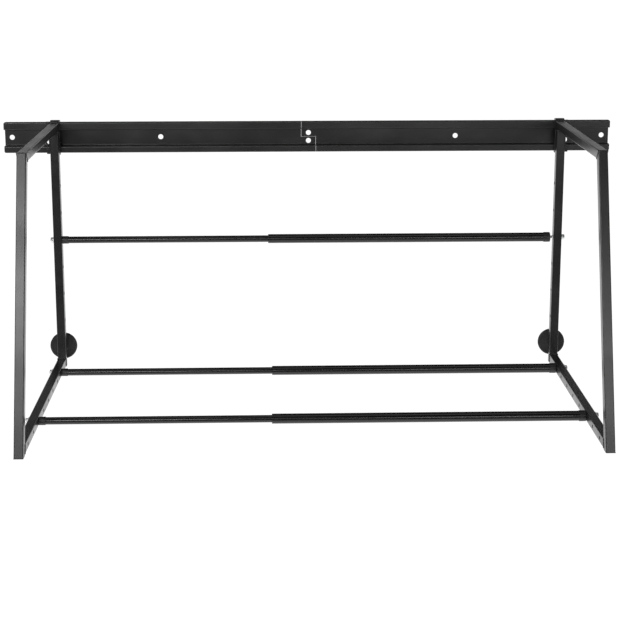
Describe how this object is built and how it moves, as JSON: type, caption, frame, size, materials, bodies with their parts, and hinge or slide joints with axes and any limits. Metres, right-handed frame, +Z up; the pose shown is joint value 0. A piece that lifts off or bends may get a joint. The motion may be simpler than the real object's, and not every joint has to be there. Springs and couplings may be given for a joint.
{
  "type": "wall-mounted tyre rack",
  "caption": "Wall-hung tyre rack: square-tube side frames hook on a hat-section rail and slide along it, joined by telescoping round bars, with screw-out wall pads.",
  "frame": {"origin": "on the wall plane, at the middle of the rail's back face", "axes": "+X along the wall, +Y into the wall, +Z up"},
  "size_m": [1.664, 0.736, 0.6937],
  "materials": {
    "rail_paint": "semi-gloss black powder coat on steel sheet",
    "frame_paint": "satin black powder coat with a fine texture",
    "bar_paint": "smooth gloss black powder coat",
    "plastic": "black moulded plastic",
    "rubber": "black rubber",
    "zinc": "bright zinc plate"
  },
  "bodies": {
    "rail": {"rail_left": "rail_paint", "rail_right": "rail_paint"},
    "left_frame": {"rear_post_left": "frame_paint", "top_arm_left": "frame_paint", "front_strut_left": "frame_paint", "lower_arm_left": "frame_paint", "rail_hook_left": "frame_paint", "post_foot_plug_left": "plastic", "strut_foot_plug_left": "plastic", "upper_cap_left": "plastic", "rear_cap_left": "plastic", "front_cap_left": "plastic", "upper_plug_left": "zinc", "rear_plug_left": "zinc", "front_plug_left": "zinc", "bar_bolts_left": "zinc", "lock_washers_left": "zinc", "flat_washers_left": "zinc", "pad_jam_nut_left": "zinc", "pad_weld_nut_left": "zinc", "upper_bar_inner": "bar_paint", "rear_bar_inner": "bar_paint", "front_bar_inner": "bar_paint"},
    "right_frame": {"rear_post_right": "frame_paint", "top_arm_right": "frame_paint", "front_strut_right": "frame_paint", "lower_arm_right": "frame_paint", "rail_hook_right": "frame_paint", "post_foot_plug_right": "plastic", "strut_foot_plug_right": "plastic", "upper_cap_right": "plastic", "rear_cap_right": "plastic", "front_cap_right": "plastic", "upper_plug_right": "zinc", "rear_plug_right": "zinc", "front_plug_right": "zinc", "bar_bolts_right": "zinc", "lock_washers_right": "zinc", "flat_washers_right": "zinc", "pad_jam_nut_right": "zinc", "pad_weld_nut_right": "zinc", "upper_bar_outer": "bar_paint", "rear_bar_outer": "bar_paint", "front_bar_outer": "bar_paint"},
    "left_pad": {"wall_pad_left": "rubber"},
    "right_pad": {"wall_pad_right": "rubber"},
    "left_stud": {"pad_stud_left": "zinc"},
    "right_stud": {"pad_stud_right": "zinc"}
  },
  "joints": [
    {"name": "left_frame_slide", "type": "slide", "parent": "rail", "child": "left_frame", "axis": [-1, 0, 0], "range_m": [-0.27, 0.07]},
    {"name": "right_frame_slide", "type": "slide", "parent": "rail", "child": "right_frame", "axis": [1, 0, 0], "range_m": [-0.27, 0.07]},
    {"name": "left_pad_slide", "type": "slide", "parent": "left_frame", "child": "left_pad", "axis": [0, 1, 0], "range_m": [-0.0055, 0.008]},
    {"name": "right_pad_slide", "type": "slide", "parent": "right_frame", "child": "right_pad", "axis": [0, 1, 0], "range_m": [-0.0055, 0.008]},
    {"name": "left_stud_turn", "type": "hinge", "parent": "left_pad", "child": "left_stud", "pos_m": [-0.692, 0, -0.596], "axis": [0, 1, 0], "range_deg": [-1590, 2310]},
    {"name": "right_stud_turn", "type": "hinge", "parent": "right_pad", "child": "right_stud", "pos_m": [0.692, 0, -0.596], "axis": [0, 1, 0], "range_deg": [-1590, 2310]}
  ],
  "couplings": [
    {"joint": "left_stud_turn", "follows": "left_pad_slide", "rad_per_m": 5026.5},
    {"joint": "right_stud_turn", "follows": "right_pad_slide", "rad_per_m": 5026.5}
  ]
}
